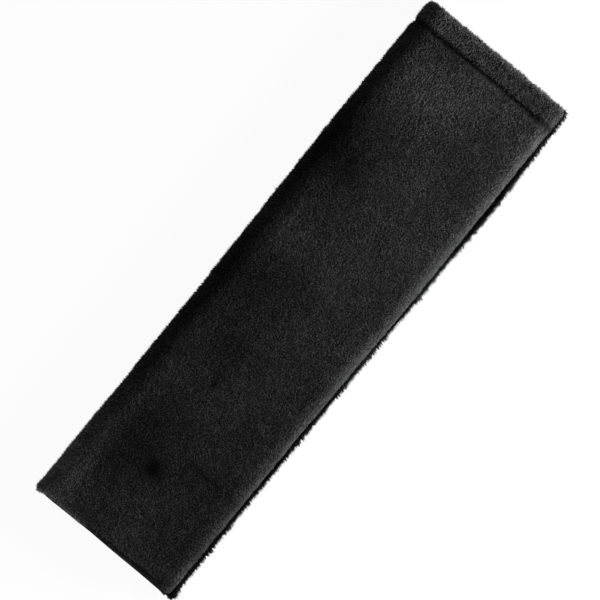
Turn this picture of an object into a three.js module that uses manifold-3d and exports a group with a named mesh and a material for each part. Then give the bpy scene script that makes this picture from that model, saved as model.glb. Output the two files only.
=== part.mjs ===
// A seat belt shoulder pad: a plush bag with a foam sheet in it and a smooth lining,
// folded once lengthways round the belt and closed by a hook strip on a loop strip.
// It lies on its lower half. X runs across from the fold to the closing edge, Y runs along
// the belt to the topstitched end, and Z points up through both halves.
import * as THREE from "three";
import { mergeVertices } from "three/addons/utils/BufferGeometryUtils.js";
import Module from "manifold-3d";

// Driving dimensions, in millimetres
const padLength = 270;
const foldedWidth = 76;
const layerGap = 0.3;

// The three layers of each half
const coverThickness = 2;
const foamThickness = 3.5;
const liningThickness = 0.8;

// The rounded closing edge of each half, and the rounded ends
const edgeRound = 5;
const endRound = 3;

// The seam where the lining meets the cover: just inside each half's edge, but half way down the
// plain end, where the lining is turned over as a smooth rim
const seamWidth = 1;
const seamThreadDiameter = 0.4;
const rimSetBack = 0.1;

// The topstitched end, whose raw edges are turned in, and which the foam stops short of
const topstitchFromEnd = 11;
const foamFromTopstitch = 1.5;
const topstitchDiameter = 0.5;
const topstitchFromEdge = 5;
const grooveWidth = 4;
const grooveDepth = 1.2;
const liningGrooveDepth = 0.9;

// The hook strip on the upper half and the loop strip on the lower half
const stripWidth = 13;
const stripFromEdge = 4;
const stripFromEnd = 6;
const stripFromTopstitch = 4;
const tapeThickness = 0.6;
const selvedge = 2;
const hookHeight = 1.2;
const hookRowWidth = 0.9;
const hookRows = 5;
const loopHeight = 1.3;
const loopShoulder = 0.5;
const stripThreadDiameter = 0.4;
const stripStitchFromSide = 1;

// How the pad was sewn and closed by hand: how far each long edge wanders outwards, at even steps
// from the plain end to the topstitched end
const lowerEdgeWander = [-1, -0.1, 0.4, 2.3, 1.7];
const upperEdgeWander = [-2.5, -1.4, -0.5, 0, 0.3];
const foldWander = [0.8, 0, -0.1, 0.3, -0.2];
const endSlant = 1.3;
const upperEndSetBack = 2.2;
const setBackReach = 70;
const archRise = 1;

// Places worked out from them
const halfLength = padLength / 2;
const halfWidth = foldedWidth / 2;
const flapThickness = coverThickness + layerGap + foamThickness + layerGap + liningThickness;
const hookStripThickness = tapeThickness + hookHeight;
const loopStripThickness = tapeThickness + loopHeight;
const channelHeight = hookStripThickness + loopStripThickness + 3 * layerGap;
const padThickness = 2 * flapThickness + channelHeight;
const middleZ = padThickness / 2;
const foldX = middleZ - halfWidth;
const stripOuterX = halfWidth - stripFromEdge;
const stripInnerX = stripOuterX - stripWidth;
const foamInset = coverThickness + layerGap;
const foamTop = foamInset + foamThickness;
const seamInner = coverThickness + seamWidth;
const rimBottom = (flapThickness + seamWidth) / 2;
const plainWallTop = rimBottom - seamWidth;
const rimBackY = coverThickness - halfLength;
const topstitchY = halfLength - topstitchFromEnd;
const foamEndY = topstitchY - foamFromTopstitch;
const stripStartY = stripFromEnd - halfLength;
const stripEndY = topstitchY - stripFromTopstitch;

// How finely the pad is divided
const lengthSteps = 10;
const spanSteps = 6;
const quarterFoldSteps = 5;
const edgeSteps = 3;
const endSteps = 3;
const threadSides = 6;

const evenly = (from, to, steps) =>
  Array.from({ length: steps + 1 }, (_, i) => THREE.MathUtils.lerp(from, to, i / steps));

// The plain pad, straight and even, is moved to its wandering shape point by point, so that
// every layer follows its neighbours
const wanderCurve = (values) => new THREE.SplineCurve(values.map((value, i) => new THREE.Vector2(i, value)));
const lowerEdgeCurve = wanderCurve(lowerEdgeWander);
const upperEdgeCurve = wanderCurve(upperEdgeWander);
const foldCurve = wanderCurve(foldWander);

function place(x, y, z) {
  const along = THREE.MathUtils.clamp(y / padLength + 0.5, 0, 1);
  const across = THREE.MathUtils.clamp((x - foldX) / (halfWidth - foldX), 0, 1);
  const upper = z > middleZ;
  const edge = (upper ? upperEdgeCurve : lowerEdgeCurve).getPoint(along).y;
  const fold = foldCurve.getPoint(along).y;
  const nearPlainEnd = 1 - THREE.MathUtils.smoothstep(y, -halfLength, setBackReach - halfLength);
  const setBack = upper ? upperEndSetBack * across * nearPlainEnd : 0;
  const overBelt = THREE.MathUtils.clamp((x - foldX) / (stripInnerX - foldX), 0, 1);
  const arch = upper ? archRise * Math.sin(Math.PI * overBelt) ** 2 : 0;
  return new THREE.Vector3(
    x + across * edge - (1 - across) * fold,
    y + setBack - (endSlant * x) / foldedWidth,
    z + arch,
  );
}

// One side of a layer's section, from the upper half's closing edge round the fold to the lower
// half's. It lies at an inset from the pad's outer face and ends at an inset from the closing edge,
// in a corner that is rounded towards the channel (1) or away from it (-1)
function sectionSide(inset, edgeInset, round, towardsChannel) {
  const edgeX = halfWidth - edgeInset;
  const z = padThickness - inset;
  const corner = evenly(0, (towardsChannel * Math.PI) / 2, edgeSteps).map(
    (angle) =>
      new THREE.Vector2(
        edgeX - round + round * Math.cos(angle),
        z - towardsChannel * round + round * Math.sin(angle),
      ),
  );
  const span = evenly(stripInnerX, foldX, spanSteps).map((x) => new THREE.Vector2(x, z));
  const radius = middleZ - inset;
  const fold = evenly(Math.PI / 2, Math.PI, quarterFoldSteps)
    .slice(1)
    .map((angle) => new THREE.Vector2(foldX + radius * Math.cos(angle), middleZ + radius * Math.sin(angle)));
  const upperHalf = [...corner, ...span, ...fold];
  const lowerHalf = upperHalf
    .slice(0, -1)
    .reverse()
    .map((point) => new THREE.Vector2(point.x, padThickness - point.y));
  return [...upperHalf, ...lowerHalf];
}

// A layer's whole section: out along its outer side and back along its channel side
function layerSection({ outer, channel, edge, outerRound = 0, channelRound = 0 }) {
  const out = sectionSide(outer, edge, outerRound, 1);
  const back = sectionSide(channel, edge, channelRound, -1);
  return [...out, ...back.reverse()];
}

// The places along Y where every layer has a ring of points
const sharedStations = evenly(endRound - halfLength, topstitchY - grooveWidth / 2, lengthSteps);
const grooveStations = evenly(topstitchY - grooveWidth / 2, topstitchY + grooveWidth / 2, 4);

function stationsBetween(from, to) {
  const inside = [...new Set([...sharedStations, ...grooveStations])].filter(
    (y) => y > from + layerGap && y < to - layerGap,
  );
  return [from, ...inside, to];
}

// How far the topstitch has pulled a face in at a place along Y, as a share of the groove's depth
function groovePull(y) {
  const fromMiddle = Math.min(Math.abs(y - topstitchY) / (grooveWidth / 2), 1);
  return 0.5 + 0.5 * Math.cos(Math.PI * fromMiddle);
}

// A closed surface over rings of points, one ring at each place along a piece. A ring is a chain of
// points out and as many back, so each end is capped by a ladder between the two chains
function skin(rings, closesOnItself = false) {
  const size = rings[0].length;
  const corners = [];
  const sides = closesOnItself ? rings.length : rings.length - 1;
  for (let k = 0; k < sides; k++) {
    const near = rings[k];
    const far = rings[(k + 1) % rings.length];
    for (let i = 0; i < size; i++) {
      const next = (i + 1) % size;
      corners.push(near[i], far[i], far[next]);
      corners.push(near[i], far[next], near[next]);
    }
  }
  if (!closesOnItself) {
    const first = rings[0];
    const last = rings[rings.length - 1];
    for (let i = 0; i + 1 < size / 2; i++) {
      const back = size - 1 - i;
      corners.push(first[i], first[i + 1], first[back - 1]);
      corners.push(first[i], first[back - 1], first[back]);
      corners.push(last[i], last[back - 1], last[i + 1]);
      corners.push(last[i], last[back], last[back - 1]);
    }
  }
  return welded(new THREE.BufferGeometry().setFromPoints(corners));
}

// Points that meet are made one, and triangles that this leaves without an area are dropped
function welded(geometry) {
  const merged = mergeVertices(geometry, 1e-3);
  const kept = [];
  for (let i = 0; i < merged.index.count; i += 3) {
    const [a, b, c] = [0, 1, 2].map((corner) => merged.index.getX(i + corner));
    if (a !== b && b !== c && c !== a) kept.push(a, b, c);
  }
  merged.setIndex(kept);
  merged.computeVertexNormals();
  return merged;
}

// A layer's rings at places along Y, with a section that may change along it
function layerRings(stations, sectionAt) {
  return stations.map((y) => layerSection(sectionAt(y)).map((point) => place(point.x, y, point.y)));
}

const layer = (stations, sectionAt) => skin(layerRings(stations, sectionAt));

// A thread along a chain of points, starting with the given direction across it
function threadAlong(points, diameter, across, closesOnItself = false) {
  const count = points.length;
  const side = across.clone();
  const rings = points.map((point, i) => {
    const before = closesOnItself ? points[(i + count - 1) % count] : points[Math.max(i - 1, 0)];
    const after = closesOnItself ? points[(i + 1) % count] : points[Math.min(i + 1, count - 1)];
    const direction = after.clone().sub(before).normalize();
    side.addScaledVector(direction, -side.dot(direction)).normalize();
    const third = new THREE.Vector3().crossVectors(side, direction);
    return Array.from({ length: threadSides }, (_, k) => {
      const angle = (2 * Math.PI * k) / threadSides;
      return point
        .clone()
        .addScaledVector(side, (diameter / 2) * Math.cos(angle))
        .addScaledVector(third, (diameter / 2) * Math.sin(angle));
    });
  });
  return skin(rings, closesOnItself);
}

// Joining and cutting closed solids
const wasm = await Module();
wasm.setup();

function toSolid(geometry) {
  const bare = new THREE.BufferGeometry();
  bare.setAttribute("position", geometry.getAttribute("position"));
  bare.setIndex(geometry.index);
  const merged = welded(bare);
  return new wasm.Manifold(
    new wasm.Mesh({
      numProp: 3,
      vertProperties: new Float32Array(merged.getAttribute("position").array),
      triVerts: new Uint32Array(merged.index.array),
    }),
  );
}

function toGeometry(solid) {
  const mesh = solid.getMesh();
  const geometry = new THREE.BufferGeometry();
  geometry.setAttribute("position", new THREE.BufferAttribute(mesh.vertProperties, 3));
  geometry.setIndex(new THREE.BufferAttribute(mesh.triVerts, 1));
  return welded(geometry);
}

// How far from an end the rings of its rounding lie, and how far that rounding draws a face in
const roundIn = evenly(0, Math.PI / 2, endSteps).map((angle) => endRound * (1 - Math.cos(angle)));

function roundedBy(y) {
  const fromEnd = Math.min(y + halfLength, halfLength - y);
  const reach = Math.max(endRound - fromEnd, 0);
  return endRound - Math.sqrt(Math.max(endRound ** 2 - reach ** 2, 0));
}

// The cover's outer shape: full-round ends, round closing edges and the topstitch's groove
function bagStations() {
  const plainEnd = roundIn.map((distance) => distance - halfLength);
  const stitchedEnd = roundIn.map((distance) => halfLength - distance).reverse();
  const between = [...sharedStations.slice(1), ...grooveStations.slice(1)];
  return [...plainEnd, ...between, ...stitchedEnd];
}

function bagSection(y) {
  const edge = roundedBy(y);
  const outer = edge + grooveDepth * groovePull(y);
  const channel = flapThickness - edge;
  const channelRound = Math.max(flapThickness - edgeRound - edge, 0);
  const outerRound = Math.max(Math.min(edgeRound - edge, channel - outer - channelRound), 0);
  return { outer, channel, edge, outerRound, channelRound };
}

// The plush cover: a bag open on its channel side, with a wall all round the foam, a lower one at
// the plain end for the lining's rim, and the turned-in hem past the topstitch
function plushCover() {
  const openSide = flapThickness + layerGap;
  const foamSpace = layer(stationsBetween(coverThickness - halfLength, foamEndY + layerGap), () => ({
    outer: coverThickness,
    channel: openSide,
    edge: coverThickness,
    outerRound: edgeRound - coverThickness,
  }));
  const liningSpace = layer(
    stationsBetween(coverThickness - halfLength, halfLength - coverThickness),
    (y) => ({
      outer: foamTop - liningGrooveDepth * groovePull(y),
      channel: openSide,
      edge: coverThickness,
    }),
  );
  const rimSpace = layer([-layerGap - halfLength, rimBackY + layerGap], () => ({
    outer: plainWallTop,
    channel: openSide,
    edge: coverThickness,
  }));
  const spaces = [foamSpace, liningSpace, rimSpace];
  const bag = toSolid(layer(bagStations(), bagSection));
  return toGeometry(spaces.reduce((left, space) => left.subtract(toSolid(space)), bag));
}

// The foam: one sheet that runs round the fold
function foamPadding() {
  return layer(stationsBetween(foamInset - halfLength, foamEndY), () => ({
    outer: foamInset,
    channel: foamTop,
    edge: foamInset,
    outerRound: edgeRound - foamInset,
  }));
}

// The lining: one sheet on the channel side, turned over the plain end as a rim and drawn in where
// the topstitch goes through it
function lining() {
  const rimStations = [rimSetBack, ...roundIn.filter((s) => s > rimSetBack && s < coverThickness)];
  const rim = layerRings([...rimStations.map((s) => s - halfLength), rimBackY], (y) => ({
    outer: rimBottom,
    channel: flapThickness - roundedBy(y),
    edge: seamInner,
  }));
  const sheet = layerRings(stationsBetween(rimBackY, halfLength - seamInner), (y) => {
    const drawnIn = liningGrooveDepth * groovePull(y);
    return {
      outer: flapThickness - liningThickness - drawnIn,
      channel: flapThickness - roundedBy(y) - drawnIn,
      edge: seamInner,
    };
  });
  return skin([...rim, ...sheet]);
}

// A strip's section is given as points from its inner to its outer side, each with its place across
// and how far its face stands off the tape, which is flat on the side that is sewn to the lining
function strip(onUpperHalf, faceAt, bareEnd) {
  const liningZ = onUpperHalf ? padThickness - flapThickness : flapThickness;
  const intoChannel = onUpperHalf ? -1 : 1;
  const backZ = liningZ + intoChannel * layerGap;
  const tapeZ = backZ + intoChannel * tapeThickness;
  const fieldStart = stripStartY + bareEnd;
  const fieldEnd = stripEndY - bareEnd;
  const ringAt = (y, raised) => {
    const face = faceAt.map(([x, stand]) => place(x, y, tapeZ + intoChannel * (raised ? stand : 0)));
    const back = faceAt.map(([x]) => place(x, y, backZ));
    return onUpperHalf ? [...face, ...back.reverse()] : [...back, ...face.reverse()];
  };
  const field = stationsBetween(fieldStart, fieldEnd);
  return skin([
    ringAt(stripStartY, false),
    ringAt(fieldStart, false),
    ...field.map((y) => ringAt(y, true)),
    ringAt(fieldEnd, false),
    ringAt(stripEndY, false),
  ]);
}

// The hook strip: a tape with rows of moulded hooks along it
function hookStrip() {
  const fieldWidth = stripWidth - 2 * selvedge;
  const pitch = (fieldWidth - hookRowWidth) / (hookRows - 1);
  const face = [[stripInnerX, 0]];
  for (let row = 0; row < hookRows; row++) {
    const start = stripInnerX + selvedge + row * pitch;
    face.push([start, 0], [start, hookHeight]);
    face.push([start + hookRowWidth, hookHeight], [start + hookRowWidth, 0]);
  }
  face.push([stripOuterX, 0]);
  return strip(true, face, selvedge);
}

// The loop strip: a tape with one raised bed of loops, softer at its sides
function loopStrip() {
  const start = stripInnerX + selvedge;
  const end = stripOuterX - selvedge;
  const shoulderHeight = loopHeight - loopShoulder;
  const face = [
    [stripInnerX, 0],
    [start, 0],
    [start, shoulderHeight],
    [start + loopShoulder, loopHeight],
    [end - loopShoulder, loopHeight],
    [end, shoulderHeight],
    [end, 0],
    [stripOuterX, 0],
  ];
  return strip(false, face, selvedge);
}

// The stitching that holds a strip: once round it, in its bare margin
function stripStitching(onUpperHalf) {
  const fromLining = 2 * layerGap + tapeThickness + stripThreadDiameter / 2;
  const z = onUpperHalf ? padThickness - flapThickness - fromLining : flapThickness + fromLining;
  const innerX = stripInnerX + stripStitchFromSide;
  const outerX = stripOuterX - stripStitchFromSide;
  const lengthwise = stationsBetween(stripStartY + stripStitchFromSide, stripEndY - stripStitchFromSide);
  const outwards = lengthwise.map((y) => place(innerX, y, z));
  const backwards = lengthwise.map((y) => place(outerX, y, z)).reverse();
  return threadAlong([...outwards, ...backwards], stripThreadDiameter, new THREE.Vector3(0, 0, 1), true);
}

const spacedOut = (points, apart) =>
  points.filter((point, i) => i === 0 || point.distanceTo(points[i - 1]) > apart);

// The topstitch: its needle thread lies in the cover's groove and its bobbin thread in the lining's
function topstitch(inset) {
  const path = sectionSide(inset, topstitchFromEdge, 0, 1).map((point) => place(point.x, topstitchY, point.y));
  return threadAlong(spacedOut(path, layerGap), topstitchDiameter, new THREE.Vector3(0, 1, 0));
}

// The seam between lining and cover: along one closing edge, down and round the plain end under the
// lining's rim, and back along the other edge
function seamThread() {
  const besideLining = flapThickness - liningThickness + seamThreadDiameter / 2;
  const underRim = rimBottom - seamWidth / 2;
  const edgeX = halfWidth - seamInner + seamWidth / 2;
  const rimY = seamWidth / 2 - halfLength;
  const alongEdge = stationsBetween(rimBackY, halfLength - seamInner);
  const down = evenly(0, Math.PI / 2, 2 * edgeSteps)
    .slice(1)
    .map((angle) => ({
      y: rimBackY + (rimY - rimBackY) * Math.sin(angle),
      inset: underRim + (besideLining - underRim) * Math.cos(angle),
    }));
  const edgePoints = (toZ) => [
    ...alongEdge.map((y) => place(edgeX, y, toZ(besideLining))).reverse(),
    ...down.map(({ y, inset }) => place(edgeX, y, toZ(inset))),
  ];
  const roundEnd = sectionSide(underRim, seamInner, 0, 1).map((point) => place(point.x, rimY, point.y));
  const path = [
    ...edgePoints((inset) => padThickness - inset),
    ...roundEnd,
    ...edgePoints((inset) => inset).reverse(),
  ];
  return threadAlong(
    spacedOut(path, seamThreadDiameter / 4),
    seamThreadDiameter,
    new THREE.Vector3(1, 0, 0),
  );
}

const finish = (color, roughness) => new THREE.MeshStandardMaterial({ color, roughness, metalness: 0 });
const plush = finish(0x1c1c1f, 1);
const foam = finish(0x3a3a3d, 0.95);
const smoothCloth = finish(0x2f3034, 0.7);
const hooks = finish(0x202023, 0.45);
const loops = finish(0x242427, 0.9);
const thread = finish(0x141416, 0.6);

const needleInset = grooveDepth - layerGap - topstitchDiameter / 2;
const bobbinInset = flapThickness - liningGrooveDepth + layerGap + topstitchDiameter / 2;

const pieces = [
  ["plush_cover", plushCover(), plush],
  ["foam_padding", foamPadding(), foam],
  ["lining", lining(), smoothCloth],
  ["hook_strip", hookStrip(), hooks],
  ["loop_strip", loopStrip(), loops],
  ["hook_strip_stitching", stripStitching(true), thread],
  ["loop_strip_stitching", stripStitching(false), thread],
  ["topstitch_needle_thread", topstitch(needleInset), thread],
  ["topstitch_bobbin_thread", topstitch(bobbinInset), thread],
  ["lining_seam_thread", seamThread(), thread],
];

const pad = new THREE.Group();
for (const [name, geometry, material] of pieces) {
  const mesh = new THREE.Mesh(geometry, material);
  mesh.name = name;
  pad.add(mesh);
}

// The origin is under the middle of the pad
const bounds = new THREE.Box3().setFromObject(pad);
const centre = bounds.getCenter(new THREE.Vector3());
pad.position.set(-centre.x, -centre.y, -bounds.min.z);
pad.updateMatrixWorld(true);

export default pad;
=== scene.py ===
"""The looks of a plush seat belt shoulder pad, folded and closed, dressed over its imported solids."""

import math

import bpy
import numpy as np
from mathutils import Euler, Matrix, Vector, noise
from mathutils.bvhtree import BVHTree


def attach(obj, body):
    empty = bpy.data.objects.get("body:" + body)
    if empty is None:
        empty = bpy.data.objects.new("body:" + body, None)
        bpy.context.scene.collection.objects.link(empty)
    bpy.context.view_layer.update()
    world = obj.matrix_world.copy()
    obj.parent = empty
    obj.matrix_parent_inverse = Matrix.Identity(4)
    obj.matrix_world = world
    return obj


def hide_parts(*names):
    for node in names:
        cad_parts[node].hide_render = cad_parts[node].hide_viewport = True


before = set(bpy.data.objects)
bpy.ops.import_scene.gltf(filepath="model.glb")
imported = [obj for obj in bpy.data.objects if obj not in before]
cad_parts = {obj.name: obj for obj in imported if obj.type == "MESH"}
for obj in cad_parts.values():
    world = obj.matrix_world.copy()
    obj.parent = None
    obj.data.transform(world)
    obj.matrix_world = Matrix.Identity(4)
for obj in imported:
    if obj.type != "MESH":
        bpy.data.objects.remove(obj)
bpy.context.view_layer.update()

MM = 0.001

# The pad's driving sizes, as its solids have them
PAD_LENGTH = 270 * MM
FOLDED_WIDTH = 76 * MM
FLAP_THICKNESS = 6.9 * MM
PAD_THICKNESS = 18.4 * MM
LAYER_GAP = 0.3 * MM
TOPSTITCH_FROM_END = 11 * MM
TOPSTITCH_FROM_EDGE = 5 * MM
TOPSTITCH_DIAMETER = 0.5 * MM
GROOVE_WIDTH = 4 * MM
GROOVE_DEPTH = 1.2 * MM
LINING_GROOVE_DEPTH = 0.9 * MM
LINING_THICKNESS = 0.8 * MM
SEAM_INNER = 3 * MM
STRIP_WIDTH = 13 * MM
STRIP_FROM_EDGE = 4 * MM
STRIP_FROM_END = 6 * MM
STRIP_FROM_TOPSTITCH = 4 * MM
TAPE_THICKNESS = 0.6 * MM
SELVEDGE = 2 * MM
HOOK_HEIGHT = 1.2 * MM
THREAD_DIAMETER = 0.4 * MM
LOWER_EDGE_WANDER = (-1, -0.1, 0.4, 2.3, 1.7)
UPPER_EDGE_WANDER = (-2.5, -1.4, -0.5, 0, 0.3)
FOLD_WANDER = (0.8, 0, -0.1, 0.3, -0.2)
END_SLANT = 1.3 * MM
UPPER_END_SET_BACK = 2.2 * MM
SET_BACK_REACH = 70 * MM
ARCH_RISE = 1 * MM
FRAME_SHIFT = -0.774 * MM

# How much further out than the solids the cloth of this pad lies, in mm: its closing edges at
# places along the pad, and its plain end at places across it
LAID_ALONG = (-120, -87, -50, -18, 17, 50, 85, 130)
UPPER_LAID_OUT = (-0.1, -0.35, -0.4, -0.3, 0.75, 0.45, 0.45, 0.5)
LOWER_LAID_OUT = (0.2, -0.3, 0, 0.35, 0.3, -0.3, 0.5, 0)
LAID_ACROSS = (-33, -12, 4, 20, 30, 35)
END_LAID_OUT = (0.35, 0.6, 0.85, 0.8, 0.95, 1.8)
END_LAID_REACH = 30 * MM
UPPER_CORNER_OUT = 1.2 * MM
UPPER_CORNER_FROM = 27 * MM, 33 * MM

# Places worked out from them
HALF_LENGTH = PAD_LENGTH / 2
HALF_WIDTH = FOLDED_WIDTH / 2
MIDDLE_Z = PAD_THICKNESS / 2
FOLD_X = MIDDLE_Z - HALF_WIDTH
HALF_RUN = HALF_WIDTH - FOLD_X
FLAT_WIDTH = 2 * HALF_RUN + math.pi * MIDDLE_Z
STRIP_OUTER_X = HALF_WIDTH - STRIP_FROM_EDGE
STRIP_INNER_X = STRIP_OUTER_X - STRIP_WIDTH
TOPSTITCH_Y = HALF_LENGTH - TOPSTITCH_FROM_END
STRIP_START_Y = STRIP_FROM_END - HALF_LENGTH
STRIP_END_Y = TOPSTITCH_Y - STRIP_FROM_TOPSTITCH
STRIP_LENGTH = STRIP_END_Y - STRIP_START_Y

# The photograph's view: straight down on the pad, which lies turned in the frame
PAD_TURN = math.radians(38.75)
FRAME_WIDTH = 258.4 * MM
CAMERA_HEIGHT = 2.0
SENSOR_WIDTH = 36.0
VIEW_CENTRE = (-0.97 * MM, -0.65 * MM)
WIDEST_HEIGHT = 9 * MM

# The plush: a knitted backing below the tips of its pile
PILE_DEPTH = 1.0 * MM
BACKING_CELL = 1.25 * MM
CLEAR_OF_INSIDES = 1.15 * MM
TUFT_LENGTH = 1.35 * MM
TUFT_RADIUS = 0.2 * MM
TUFTS_PER_MM2 = 4.6
LOWER_PILE_SHARE = 0.53
FLOOR_CLEARANCE = 0.05 * MM
GROUND_SHARE = 0.7
SWELL_STEPS = 12
SWELL_CAP = 0.9 * MM
SWELL_SHARE = 0.3


class Socket:
    """A node's output, which adds Math nodes when it is used in an expression."""

    def __init__(self, graph, output):
        self.graph = graph
        self.output = output

    def other(self, name):
        return Socket(self.graph, self.output.node.outputs[name])

    def math(self, operation, first, second=0.0):
        return self.graph.add("ShaderNodeMath", {"operation": operation}, {0: first, 1: second})

    def __add__(self, value):
        return self.math("ADD", self, value)

    def __radd__(self, value):
        return self.math("ADD", value, self)

    def __sub__(self, value):
        return self.math("SUBTRACT", self, value)

    def __rsub__(self, value):
        return self.math("SUBTRACT", value, self)

    def __mul__(self, value):
        return self.math("MULTIPLY", self, value)

    def __rmul__(self, value):
        return self.math("MULTIPLY", value, self)


class Graph:
    """A node tree that is filled by one method."""

    def __init__(self, tree):
        self.tree = tree

    def add(self, kind, settings=None, inputs=None, output=0):
        """Adds a node with its settings, then the values or links of its sockets; returns an output."""
        node = self.tree.nodes.new(kind)
        for name, value in (settings or {}).items():
            if name == "stops":
                for place, _ in value[2:]:
                    node.color_ramp.elements.new(place)
                for stop, (place, colour) in zip(node.color_ramp.elements, sorted(value)):
                    stop.position = place
                    stop.color = (*colour, 1)
            else:
                setattr(node, name, value)
        for name, value in (inputs or {}).items():
            if isinstance(value, Socket):
                self.tree.links.new(value.output, node.inputs[name])
            else:
                node.inputs[name].default_value = value
        return Socket(self, node.outputs[output]) if node.outputs else node


# Modelling helpers

RUFFLE = 1.6
MERGE_WITHIN = 0.004 * MM


def only(piece):
    """Makes a piece the only one selected, and the active one."""
    bpy.ops.object.select_all(action="DESELECT")
    piece.select_set(True)
    bpy.context.view_layer.objects.active = piece


def start_shape(operator, **settings):
    """A primitive with nothing else selected, placed in its own mesh."""
    bpy.ops.object.select_all(action="DESELECT")
    operator(**settings)
    bpy.ops.object.transform_apply(location=True, rotation=True, scale=True)
    return bpy.context.object


def apply_modifier(piece, kind, **settings):
    only(piece)
    modifier = piece.modifiers.new(kind, kind)
    for name, value in settings.items():
        setattr(modifier, name, value)
    bpy.ops.object.modifier_apply(modifier=modifier.name)


def join(name, *pieces):
    only(pieces[0])
    for piece in pieces:
        piece.select_set(True)
    bpy.ops.object.join()
    pieces[0].name = name
    return pieces[0]


def copy_of(node, name):
    """A new piece that starts as a CAD node's shape, with its loose triangles merged."""
    piece = bpy.data.objects.new(name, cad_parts[node].data.copy())
    bpy.context.scene.collection.objects.link(piece)
    piece.data.materials.clear()
    only(piece)
    bpy.ops.object.mode_set(mode="EDIT")
    bpy.ops.mesh.select_all(action="SELECT")
    bpy.ops.mesh.remove_doubles(threshold=MERGE_WITHIN)
    bpy.ops.object.mode_set(mode="OBJECT")
    return piece


def points_of(piece):
    points = np.empty(len(piece.data.vertices) * 3)
    piece.data.vertices.foreach_get("co", points)
    return points.reshape(-1, 3)


def normals_of(piece):
    normals = np.empty(len(piece.data.vertices) * 3, np.float32)
    piece.data.vertex_normals.foreach_get("vector", normals)
    return normals.reshape(-1, 3).astype(float)


def move_points(piece, points):
    piece.data.vertices.foreach_set("co", np.asarray(points, float).ravel())
    piece.data.update()


def set_attribute(piece, name, values):
    kind, field = ("FLOAT", "value") if values.ndim == 1 else ("FLOAT_VECTOR", "vector")
    attribute = piece.data.attributes.new(name, kind, "POINT")
    attribute.data.foreach_set(field, values.astype(np.float32).ravel())


def smooth_noise(points, size, seed):
    """Noise from about -1 to 1 that changes over the given size, at each point."""
    shift = Vector((seed * 7.3, seed * 3.1, seed * 5.7))
    return np.array([noise.noise(Vector(point) / size + shift) for point in points])


def nearest_distance(points, *nodes):
    """How far each point is from the nearest of some CAD nodes."""
    found = np.full(len(points), np.inf)
    for node in nodes:
        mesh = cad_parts[node].data
        corners = [vertex.co for vertex in mesh.vertices]
        tree = BVHTree.FromPolygons(corners, [face.vertices[:] for face in mesh.polygons])
        found = np.minimum(found, [tree.find_nearest(point)[3] for point in points])
    return found


def ease(values, start, end):
    """Rises smoothly from 0 at start to 1 at end."""
    part = np.clip((values - start) / (end - start), 0, 1)
    return part * part * (3 - 2 * part)


def ease_mm(values, start, end):
    """Rises smoothly from 0 at start to 1 at end, given in mm; start may be the larger."""
    return ease(values, start * MM, end * MM)


def spot(points, centre, radius):
    """1 in the middle of a round place on the pad, seen from above, fading to 0 round it."""
    away = np.hypot(points[:, 0] - centre[0], points[:, 1] - centre[1])
    return np.exp(-((away / radius) ** 2))


# The flat pad's places, folded and settled as the solids are


def wander(values, along):
    """A smooth curve through evenly spaced values, at shares of its length."""
    values = np.array(values) * MM
    place = np.clip(along, 0, 1) * (len(values) - 1)
    first = np.minimum(place.astype(int), len(values) - 2)
    part = place - first
    before = values[np.maximum(first - 1, 0)]
    start = values[first]
    end = values[first + 1]
    after = values[np.minimum(first + 2, len(values) - 1)]
    leave = (end - before) / 2
    arrive = (after - start) / 2
    cubic = 2 * start - 2 * end + leave + arrive
    square = 3 * end - 3 * start - 2 * leave - arrive
    return ((cubic * part + square) * part + leave) * part + start


def laid_out(x, y, z):
    """Moves places on the solids to where the cloth lies on this pad, a little further out in places."""
    across = np.clip((x - FOLD_X) / HALF_RUN, 0, 1)
    upper_out = np.interp(y / MM, LAID_ALONG, UPPER_LAID_OUT)
    lower_out = np.interp(y / MM, LAID_ALONG, LOWER_LAID_OUT)
    edge_out = np.where(z > MIDDLE_Z, upper_out, lower_out) * across * MM
    end_out = np.interp(x / MM, LAID_ACROSS, END_LAID_OUT) * MM
    end_out += UPPER_CORNER_OUT * ease(x, *UPPER_CORNER_FROM) * (z > MIDDLE_Z)
    near_end = 1 - ease(y, -HALF_LENGTH, END_LAID_REACH - HALF_LENGTH)
    return np.stack([x + edge_out, y - end_out * near_end, z], axis=-1)


def settled(x, y, z):
    """Moves places on the plain folded pad to where its wandering edges, slant and arch put them."""
    along = y / PAD_LENGTH + 0.5
    across = np.clip((x - FOLD_X) / HALF_RUN, 0, 1)
    upper = z > MIDDLE_Z
    edge = np.where(upper, wander(UPPER_EDGE_WANDER, along), wander(LOWER_EDGE_WANDER, along))
    fold = wander(FOLD_WANDER, along)
    near_plain_end = 1 - ease(y, -HALF_LENGTH, SET_BACK_REACH - HALF_LENGTH)
    set_back = upper * UPPER_END_SET_BACK * across * near_plain_end
    over_belt = np.clip((x - FOLD_X) / (STRIP_INNER_X - FOLD_X), 0, 1)
    arch = upper * ARCH_RISE * np.sin(math.pi * over_belt) ** 2
    settled_x = x + across * edge - (1 - across) * fold + FRAME_SHIFT
    return laid_out(settled_x, y + set_back - END_SLANT * x / FOLDED_WIDTH, z + arch)


def folded(across, along, depth):
    """Places on the pad from places on its flat slab.

    across runs from the upper half's closing edge round the fold to the lower half's, along runs
    with Y, and depth goes in from the plush side."""
    turn = np.clip((across - HALF_RUN) / MIDDLE_Z, 0, math.pi)
    upper_run = HALF_RUN - np.minimum(across, HALF_RUN)
    lower_run = np.maximum(across - HALF_RUN - math.pi * MIDDLE_Z, 0)
    reach = MIDDLE_Z - depth
    x = FOLD_X + upper_run + lower_run - reach * np.sin(turn)
    return settled(x, along, MIDDLE_Z + reach * np.cos(turn))


def fold_piece(piece):
    """Folds a piece that was made flat, with its X, Y and Z as across, along and depth."""
    across, along, depth = points_of(piece).T
    move_points(piece, folded(across, along, depth))


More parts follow.
